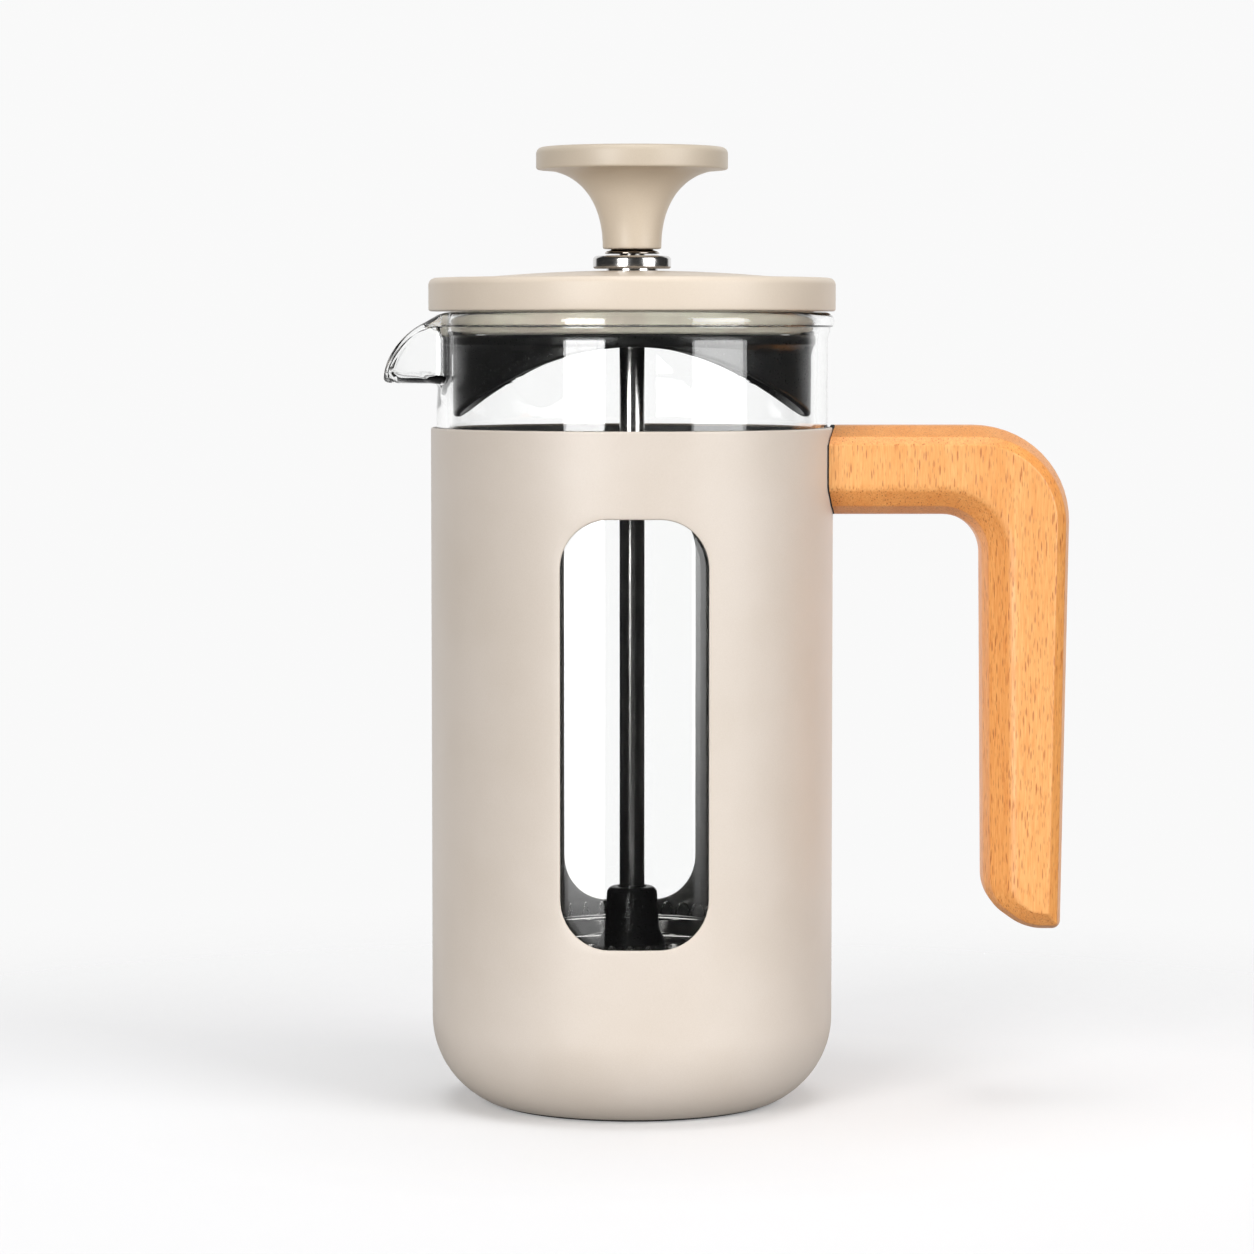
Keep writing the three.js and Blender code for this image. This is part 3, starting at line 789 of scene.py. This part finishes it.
def beaker_middle(angle):
    """(radius, height) of the middle of the wall, from the middle of the base to the bead's centre."""
    bottom, corner, radius = BEAKER_LOW[2] + GLASS_WALL / 2, GLASS_CORNER, GLASS_RADIUS
    rim, lowest = BEAKER_HIGH[2] - RIM_BEAD, SPOUT_FLOOR + 0.2
    reach = -BEAKER_LOW[0] - SPOUT_LIP
    pull = spout_reach(angle)
    edge_out = radius + FLARE
    out = edge_out + (reach - edge_out) * pull
    # The edge falls from the rim, slowly at first, to just above the spout's floor.
    edge = lowest + (rim - lowest) * max(1 - pull**1.8, 0) ** 0.6
    path = [(r, bottom) for r in np.linspace(0, radius - corner, 9)[:-1]]
    path += arc(radius - corner, bottom + corner, corner, -90, 0, 16)
    path += [(radius, z) for z in np.linspace(bottom + corner, WALL_TOP, 20)[1:]]
    gap = max(out - radius, 0.001)
    # Each bend is small enough to fit in the stretches beside it.
    root = min(SPOUT_ROOT, 0.49 * gap)
    turn = min(SPOUT_TURN, 0.49 * gap, 0.9 * (edge - SPOUT_FLOOR))
    start, end = (radius, WALL_TOP, 0), (out, edge, 0)
    spout = rounded([start, (radius, SPOUT_FLOOR, root), (out, SPOUT_FLOOR, turn), end], 10)
    flare = rounded([start, (radius, FLARE_BOTTOM, 1.5), (edge_out, FLARE_TOP, 0.5), end], 10)
    share = min(gap / SPOUT_BLEND, 1)
    share = share * share * (3 - 2 * share)
    pairs = zip(resampled(spout, PROFILE_POINTS), resampled(flare, PROFILE_POINTS))
    path += [tuple((1 - share) * b + share * a) for a, b in pairs][1:]
    return path


def beaker_shape():
    """Rings from the base's underside up the outside, round the bead and down the inside.

    The bead and the wall grow thinner towards the spout.
    """
    angles = beaker_columns()
    columns = len(angles)
    paths = np.array([beaker_middle(a) for a in angles])
    turn = math.pi + angles
    radii, heights = paths[:, :, 0], paths[:, :, 1]
    middle = np.stack([radii * np.cos(turn)[:, None], radii * np.sin(turn)[:, None], heights], axis=2)
    along = np.gradient(middle, axis=1)
    around = np.roll(middle, -1, axis=0) - np.roll(middle, 1, axis=0)
    around[:, 0] = np.stack([-np.sin(turn), np.cos(turn), 0 * turn], axis=1)
    normal = unit(np.cross(around, along))
    along = unit(along)
    pull = np.array([spout_reach(a) for a in angles])
    bead = RIM_BEAD + (SPOUT_LIP - RIM_BEAD) * np.minimum(pull * 3, 1)
    near_spout = np.clip((middle[:, :, 2] - SPOUT_FLOOR + THINNING) / THINNING, 0, 1)
    thinning = near_spout * np.minimum(pull * 2, 1)[:, None]
    half = (GLASS_WALL + (SPOUT_WALL - GLASS_WALL) * thinning) / 2
    rows = []
    count = middle.shape[1]
    for k in range(count - 1):
        rows.append(middle[:, k] + normal[:, k] * half[:, k, None])
    centre, side, up = middle[:, -1], normal[:, -1], along[:, -1]
    for degrees in np.linspace(BEAD_START, 180 - BEAD_START, 22):
        a = math.radians(degrees)
        rows.append(centre + bead[:, None] * (math.cos(a) * side + math.sin(a) * up))
    for k in range(count - 2, -1, -1):
        rows.append(middle[:, k] - normal[:, k] * half[:, k, None])
    vertices = [tuple(rows[0].mean(axis=0))]
    for row in rows[1:-1]:
        vertices += [tuple(p) for p in row]
    vertices.append(tuple(rows[-1].mean(axis=0)))
    faces = grid_faces(len(rows) - 2, columns, first=1, wrap_columns=True)
    last_ring = 1 + (len(rows) - 3) * columns
    for i in range(columns):
        m = (i + 1) % columns
        faces.append([0, 1 + m, 1 + i])
        faces.append([len(vertices) - 1, last_ring + i, last_ring + m])
    return vertices, faces


piece("beaker", beaker_shape(), GLASS, "beaker", ["glass_beaker"], sharp=60)


# Lid.

CAP_WALL = 1
CAP_EDGE = 147.75  # height of the flat round the dome
CAP_DOME = 28  # radius of the dome
CAP_SHOULDER = 1.3  # rounding of the outer edge


def cap_profile():
    """A thin lid with a low dome: up its side, in over the top to the hole, and back underneath."""
    radius, bottom, crown = CAP_HIGH[0], CAP_LOW[2], CAP_HIGH[2]
    inner, shoulder = radius - CAP_WALL, CAP_SHOULDER
    flat = list(np.linspace(radius - 2, CAP_DOME + 1, 5))
    spots = flat + list(np.linspace(CAP_DOME, COLLAR_NECK + STEM_GAP, 24))
    dome = [(r, crown - (crown - CAP_EDGE) * min(r / CAP_DOME, 1) ** 2) for r in spots]
    under = [(r, z - CAP_WALL) for r, z in reversed(dome[3:])]
    foot = [(inner, bottom + 1.5, 0), (inner, bottom, 0.45), (radius, bottom, 0.45), (radius, bottom + 2, 0)]
    back = [(radius - 3, CAP_EDGE - 1.2, 0), (inner, CAP_EDGE - 1.3, 0.6), (inner, bottom + 2, 0)]
    top = arc(radius - shoulder, CAP_EDGE - shoulder, shoulder, 0, 90, 9) + dome
    return rounded(foot, 5) + top + under + rounded(back, 4)


def plug_profile():
    """A flanged ring that drops into the beaker, with a hub for the collar's stem."""
    radius, wall, bottom = 32.4, 1.5, PLUG_LOW[2]
    flange, seat = PLUG_HIGH[0], CAP_LOW[2]
    hub_inner, hub_outer, hub_bottom, hub_top = COLLAR_NECK + 0.6, 8, SKIRT_TOP + 2.3, PLUG_HIGH[2]
    corners = [
        (hub_inner, hub_bottom, 0.2),
        (hub_outer, hub_bottom, 0.2),
        (hub_outer, seat, 0.3),
        (radius - wall, seat, 0.3),
        (radius - wall, bottom, 0.4),
        (radius, bottom, 0.4),
        (radius, seat, 0.3),
        (flange, seat, 0.3),
        (flange, seat + 1.5, 0.3),
        (hub_outer, seat + 1.5, 0.3),
        (hub_outer, hub_top, 0.3),
        (hub_inner, hub_top, 0.2),
    ]
    return rounded(corners, 4, closed=True)


SKIRT_WALL = 1.5
SKIRT_STEP = 0.75  # how far the side stands back from the bead round the top
SKIRT_FOOT = 32.0  # outer radius at the tip of a lobe
SKIRT_ARCH = 135.5  # height of the edge at the top of an arch
SKIRT_LOBE = 12.5  # how far a lobe hangs below the arch
SIDE_TOP = SKIRT_TOP - 2.6  # where the side starts to lean in
BOSS_RADIUS = 11  # raised ring round the skirt's hole
BOSS_RISE = 2.2
BOSS_UNDER = 0.7  # height of its underside above the skirt's top


def skirt_section(angle):
    """The outline at an angle: in over the top to the hole, back under it, and down to the edge and up."""
    top, under, radius = SKIRT_TOP, SKIRT_TOP - SKIRT_WALL, SKIRT_RADIUS
    side, hole, boss = radius - SKIRT_STEP, COLLAR_NECK + STEM_GAP, BOSS_RADIUS
    edge = SKIRT_ARCH - SKIRT_LOBE * math.cos(angle) ** 2
    drop = (SIDE_TOP - edge) / SKIRT_LOBE
    foot = side - (side - SKIRT_FOOT) * drop
    inner = foot - SKIRT_WALL + 0.2 * drop
    reach = edge + 0.6
    bead = [(radius, top - 1.2, 0), (radius, top, 0.6)]
    raised = [(boss + 1.2, top, 0.8), (boss, top + BOSS_RISE, 0.8), (hole, top + BOSS_RISE, 0)]
    hollow = [(hole, top + BOSS_UNDER, 0), (boss - 0.5, top + BOSS_UNDER, 0.5), (boss + 0.5, under, 0.5)]
    bend = [(radius - 3, under, 0), (radius - 0.7 - SKIRT_WALL, under, 0.3), (inner, edge + 0.05, 0)]
    tip = [(inner, reach, 0), (inner, edge, 0.45), (foot, edge, 0.45), (foot, reach, 0)]
    inside = rounded(bend, 4)[1:-1]
    outline = rounded(bead + raised, 4) + rounded(hollow + [bend[0]], 4) + inside
    outline += list(resampled([inside[-1], (inner, reach)], 8)[1:])
    outline += rounded(tip, 4)[1:-1]
    outline += list(resampled([(foot, reach), (side, top - 2.3)], 8)[:-1])
    return outline + arc(radius - 0.6, top - 1.75, 0.6, -60, 0, 3)


def skirt_shape(columns=288):
    """The skirt's sections, side by side round the rod."""
    vertices = []
    for k in range(columns):
        angle = TAU * k / columns
        vertices += [(r * math.cos(angle), r * math.sin(angle), z) for r, z in skirt_section(angle)]
    return vertices, grid_faces(columns, len(vertices) // columns, wrap_rows=True, wrap_columns=True)


def collar_profile():
    """A flat ring on the lid with a stem down through it."""
    bore, neck, radius = 3.4, COLLAR_NECK, COLLAR_HIGH[0]
    seat, bottom, top = 149.4, COLLAR_LOW[2], COLLAR_HIGH[2]
    corners = [
        (bore, bottom, 0),
        (neck, bottom, 0.3),
        (neck, seat, 0),
        (radius - 0.3, seat, 0.15),
        (radius, seat + 0.3, 0.15),
        (radius, top, 0.7),
        (bore, top, 0.3),
    ]
    return rounded(corners, 5, closed=True)


piece("lid_cap_shell", turned(cap_profile(), 256), LID_PAINT, "lid", ["lid_cap"])
piece("lid_plug_ring", turned(plug_profile()), LIT_PLUG_PLASTIC, "lid", ["lid_plug"])
piece("splash_skirt", skirt_shape(), BLACK, "lid", ["lid_skirt"])
piece("collar", turned(collar_profile(), 128), CHROME, "lid_guide", ["lid_collar"])


# Plunger.


def knob_profile():
    """A trumpet: a neck that sweeps out to a thin disc, with a bore from below."""
    neck, bottom, rim = 5.25, KNOB_LOW[2], KNOB_HIGH[0]
    disc_bottom, top, bore, bore_top = 167.0, KNOB_HIGH[2], 4.05, 165.5
    sweep = ((neck, bottom + 0.4), (neck, bottom + 9.4), (neck + 5, disc_bottom), (rim - 0.6, disc_bottom))
    edge = [(rim - 0.5, disc_bottom, 0), (rim, disc_bottom, 0.45), (rim, top, 1.2), (rim - 4, top, 0)]
    profile = [(0, bore_top), (bore, bore_top), (bore, bottom + 0.2)]
    profile += arc(neck - 0.4, bottom + 0.4, 0.4, -90, 0, 4)
    profile += bezier(*sweep, 40)[1:] + rounded(edge, 7)[1:]
    profile += [(rim / 2, top), (0, top)]
    return profile


def stop_profile():
    """A ferrule under the knob: a low flange and a neck."""
    seat, neck_top, neck = STOP_LOW[2], STOP_HIGH[2], 3.75
    corners = [
        (BORE, seat, 0.1),
        (STOP_HIGH[0], seat, 0.15),
        (STOP_HIGH[0] - 0.12, seat + 0.42, 0.4),
        (neck, seat + 0.72, 0.15),
        (neck, neck_top, 0),
        (BORE, neck_top, 0),
    ]
    return rounded(corners, 5, closed=True)


def rod_profile():
    """A plain round rod."""
    radius, bottom, top = ROD_HIGH[0], ROD_LOW[2], ROD_HIGH[2]
    return rounded([(0, bottom, 0), (radius, bottom, 0.4), (radius, top, 0.4), (0, top, 0)], 4)


def hub_profile():
    """The filter's boss, wider at its foot."""
    bottom, top, radius = HUB_LOW[2], HUB_HIGH[2], 4.45
    corners = [
        (BORE, bottom, 0.2),
        (HUB_HIGH[0], bottom, 0.3),
        (HUB_HIGH[0] - 0.1, bottom + 2.2, 0.6),
        (radius + 0.45, bottom + 4.4, 1.2),
        (radius, top, 1.3),
        (BORE, top, 0.3),
    ]
    return rounded(corners, 6, closed=True)


def coil_shape(turns=62, steps=20, wire=0.23, sides=8):
    """A wire, of the given radius, wound round a ring."""
    half = (COIL_HIGH[2] - COIL_LOW[2]) / 2
    radius, winding = COIL_HIGH[0] - half, half - wire
    height = (COIL_LOW[2] + COIL_HIGH[2]) / 2
    count = turns * steps
    along = TAU * np.arange(count) / count
    out = np.stack([np.cos(along), np.sin(along), 0 * along], axis=1)
    up = np.array([0, 0, 1.0])
    lean = turns * along
    offset = np.cos(lean)[:, None] * out + np.sin(lean)[:, None] * up
    path = radius * out + winding * offset + height * up
    direction = unit(np.roll(path, -1, axis=0) - np.roll(path, 1, axis=0))
    side = unit(np.cross(direction, offset))
    outward = np.cross(side, direction)
    vertices = []
    for k in range(count):
        for n in range(sides):
            a = TAU * n / sides
            vertices.append(tuple(path[k] + wire * (math.cos(a) * outward[k] + math.sin(a) * side[k])))
    return vertices, grid_faces(count, sides, wrap_rows=True, wrap_columns=True)


PLATE_THICKNESS = 0.7
SCREEN_THICKNESS = 0.4
DISH = 22.4  # radius of the plate's flat middle
DISH_TOP = 24.8  # radius where its cone meets its rim
CUT_LOW, CUT_HIGH = 20, 40  # a cutter's ends, below and above the sheets


def ring_of_holes(count, circle, radius):
    """Round cutters, evenly spaced on a circle."""
    cutter = disc_shape(radius, CUT_LOW, CUT_HIGH, edge=0, sides=48)
    spots = [TAU * (i + 0.5) / count for i in range(count)]
    return [moved(cutter, circle * math.cos(a), circle * math.sin(a)) for a in spots]


def dished(low, high, thickness, dish, dish_top):
    """A dished sheet: flat in the middle, a cone, and a flat rim."""
    rim = high[2] - thickness
    under = [(BORE, low[2], 0), (dish, low[2], 2), (dish_top, rim, 2), (high[0], rim, 0.15)]
    over = [(x, z + thickness, radius) for x, z, radius in reversed(under)]
    return turned(rounded(under + over, 5, closed=True))


def plate_mesh():
    """The dished plate, with its ring of holes."""
    sheet = dished(PLATE_LOW, PLATE_HIGH, PLATE_THICKNESS, DISH, DISH_TOP)
    return carved("plate", sheet, ring_of_holes(count=8, circle=18, radius=3.6))


def cross_mesh():
    """The flat plate under the screen, whose four big holes leave a cross."""
    low, high, radius = CROSS_LOW[2], CROSS_HIGH[2], CROSS_HIGH[0]
    corners = [(BORE, low, 0), (radius, low, 0.15), (radius, high, 0.15), (BORE, high, 0)]
    sheet = turned(rounded(corners, 3, closed=True))
    return carved("cross", sheet, ring_of_holes(count=4, circle=16, radius=8.5))


def screen_shape():
    """The wire cloth, which follows the plate from below."""
    return dished(SCREEN_LOW, SCREEN_HIGH, SCREEN_THICKNESS, DISH + 0.3, DISH_TOP + 0.6)


piece("knob", turned(knob_profile(), 192), SHADED_TRUMPET_PAINT, "plunger", ["plunger_knob"])
piece("stop_ferrule", turned(stop_profile(), 96), SHADE_AND_REFLECTION_CHROME, "plunger", ["knob_stop"])
piece("plunger_shaft", turned(rod_profile(), 64), ROD_STEEL, "plunger", ["plunger_rod"])
piece("filter_boss", turned(hub_profile(), 96), BLACK, "plunger", ["filter_hub"])
piece("coil_spring", coil_shape(), FILTER_STEEL, "plunger", ["filter_spring"])
piece("dished_plate", plate_mesh(), FILTER_STEEL, "plunger", ["spiral_plate"])
piece("filter_screen", screen_shape(), SCREEN_STEEL, "plunger", ["mesh_screen"])
piece("cross_spider", cross_mesh(), FILTER_STEEL, "plunger", ["cross_plate"])

# CAD nodes that stay, with a finish of their own.
KEPT = {
    "beaker_cushion": RUBBER,
    "handle_screw": ROD_STEEL,
    "handle_insert": BRASS,
    "collar_nut": ROD_STEEL,
    "rod_bush": BLACK,
    "knob_insert": BRASS,
    "filter_nut": FILTER_STEEL,
}
for name, finish in KEPT.items():
    kept_mesh = frame["nodes"][name].data
    kept_mesh.materials.clear()
    kept_mesh.materials.append(finish)


# Studio.

# How bright the surroundings are to each kind of ray.
WHITE = 0.949  # seen directly
THROUGH_GLASS = 1.14
BACKDROP = 1.0  # behind the object, to every other ray
ROOM = 0.04  # everywhere else
BACKDROP_SIDE = (0.62, 0.74)  # it fades in between these shares of +Y in a level direction
BACKDROP_TOP = (0.5, 0.65)  # and out between these shares of +Z
FLOOR_TONES = ((0.83, 0.83, 0.84, 1), (0.86, 0.86, 0.87, 1))
FLOOR_BOUNCE = (0.36, 0.36, 0.36, 1)  # its tone for the light that it sends up
FLOOR_GLOW = (0.04, 0.18)  # its own light, and the same seen directly
FLOOR_FADE = (0.06, 0.28)  # metres from the middle
FLOOR_DROP = 0.05  # millimetres under the object
SOFTBOX_FADE = 0.24  # share of a softbox's height over which it fades in from its foot
LIGHT_AIM = Vector((0, 0, 0.08))
LENS = 127.1
SENSOR = 36
EYE = Vector((-10.4, -794, 138.3)) * MM
LOOKS_AT = Vector((-0.9, 0, 85.2)) * MM


def floor():
    """A pale floor that fades into the backdrop far from the object."""
    made, tree, shader = new_material("pale_floor", Roughness=0.9, Specular_IOR_Level=0.1)
    shader.inputs["Emission Color"].default_value = (1, 1, 1, 1)
    where = node(tree, "ShaderNodeTexCoord").outputs["Object"]
    tone = blended(tree, noise(tree, where, 6.0), *FLOOR_TONES)
    seen = node(tree, "ShaderNodeLightPath").outputs["Is Camera Ray"]
    tree.links.new(blended(tree, seen, FLOOR_BOUNCE, tone), shader.inputs["Base Color"])
    tree.links.new(mapped(tree, seen, (0, 1), FLOOR_GLOW), shader.inputs["Emission Strength"])
    reach = node(tree, "ShaderNodeVectorMath", {0: where}, operation="LENGTH").outputs["Value"]
    tree.links.new(mapped(tree, reach, FLOOR_FADE, (1, 0), True), shader.inputs["Alpha"])
    radius, rings, sides = 0.4, 12, 96
    profile = [(radius * k / rings / MM, 0) for k in range(rings + 1)]
    vertices, faces = turned(profile, sides)
    mesh = make_mesh("floor", vertices, [face[::-1] for face in faces])
    mesh.materials.append(made)
    obj = linked("studio_floor", mesh)
    obj.location.z = -FLOOR_DROP * MM


def world():
    """A white backdrop behind the object, in an otherwise dim room."""
    made = bpy.data.worlds.new("studio")
    bpy.context.scene.world = made
    made.use_nodes = True
    tree = made.node_tree
    tree.nodes.clear()
    direction = node(tree, "ShaderNodeTexCoord").outputs["Generated"]
    level = vector_node(tree, "NORMALIZE", vector_node(tree, "MULTIPLY", direction, (1, 1, 0)))
    path = node(tree, "ShaderNodeLightPath")
    bounces = math_node(tree, "ADD", path.outputs["Glossy Depth"], path.outputs["Diffuse Depth"])
    straight = mapped(tree, bounces, (0, 1), (1, 0))
    through = math_node(tree, "MULTIPLY", path.outputs["Is Transmission Ray"], straight)
    back = mapped(tree, axis(tree, level, 1), BACKDROP_SIDE, (0, 1), True)
    low_enough = mapped(tree, axis(tree, direction, 2), BACKDROP_TOP, (1, 0), True)
    behind = math_node(tree, "MULTIPLY", back, low_enough)
    strength = mapped(tree, behind, (0, 1), (ROOM, BACKDROP))
    strength = mapped(tree, through, (0, 1), (strength, THROUGH_GLASS))
    strength = mapped(tree, path.outputs["Is Camera Ray"], (0, 1), (strength, WHITE))
    shown = node(tree, "ShaderNodeBackground", {"Color": (1, 1, 1, 1), "Strength": strength})
    tree.links.new(shown.outputs[0], node(tree, "ShaderNodeOutputWorld").inputs[0])


def softbox(name, azimuth, width, height, centre, radiance, distance=1.4):
    """A tall soft light that fades out at its foot. Angles are in degrees and lengths in metres.

    Azimuth 0 is straight in front of the object, and positive is towards +X.
    """
    light = bpy.data.lights.new(name, "AREA")
    light.shape = "RECTANGLE"
    light.size = 2 * distance * math.tan(math.radians(width / 2))
    light.size_y = height
    light.energy = radiance * math.pi * light.size * light.size_y
    light.use_nodes = True
    tree = light.node_tree
    up = axis(tree, node(tree, "ShaderNodeNewGeometry").outputs["Parametric"], 1)
    tree.links.new(mapped(tree, up, (0, SOFTBOX_FADE), (0, 1)), tree.nodes["Emission"].inputs["Strength"])
    obj = linked(name, light)
    angle = math.radians(azimuth)
    obj.location = (distance * math.sin(angle), -distance * math.cos(angle), centre)
    obj.rotation_euler = (LIGHT_AIM - obj.location).to_track_quat("-Z", "Y").to_euler()


def overhead(name, size, height, radiance):
    """A square soft light that looks straight down."""
    light = bpy.data.lights.new(name, "AREA")
    light.size = size
    light.energy = radiance * math.pi * size * size
    linked(name, light).location.z = height


def camera():
    """A long lens, slightly above the object's middle."""
    data = bpy.data.cameras.new("camera")
    data.lens = LENS
    data.sensor_width = SENSOR
    obj = linked("camera", data)
    obj.location = EYE
    obj.rotation_euler = (LOOKS_AT - EYE).to_track_quat("-Z", "Y").to_euler()
    bpy.context.scene.camera = obj


floor()
world()
softbox("left_softbox", azimuth=-28.5, width=24, height=1.0, centre=0.3, radiance=9.8)
softbox("right_softbox", azimuth=52, width=35, height=1.2, centre=0.4, radiance=5.1)
overhead("top_softbox", size=1.2, height=1.5, radiance=2.6)
camera()
bpy.context.scene.view_settings.view_transform = "Standard"
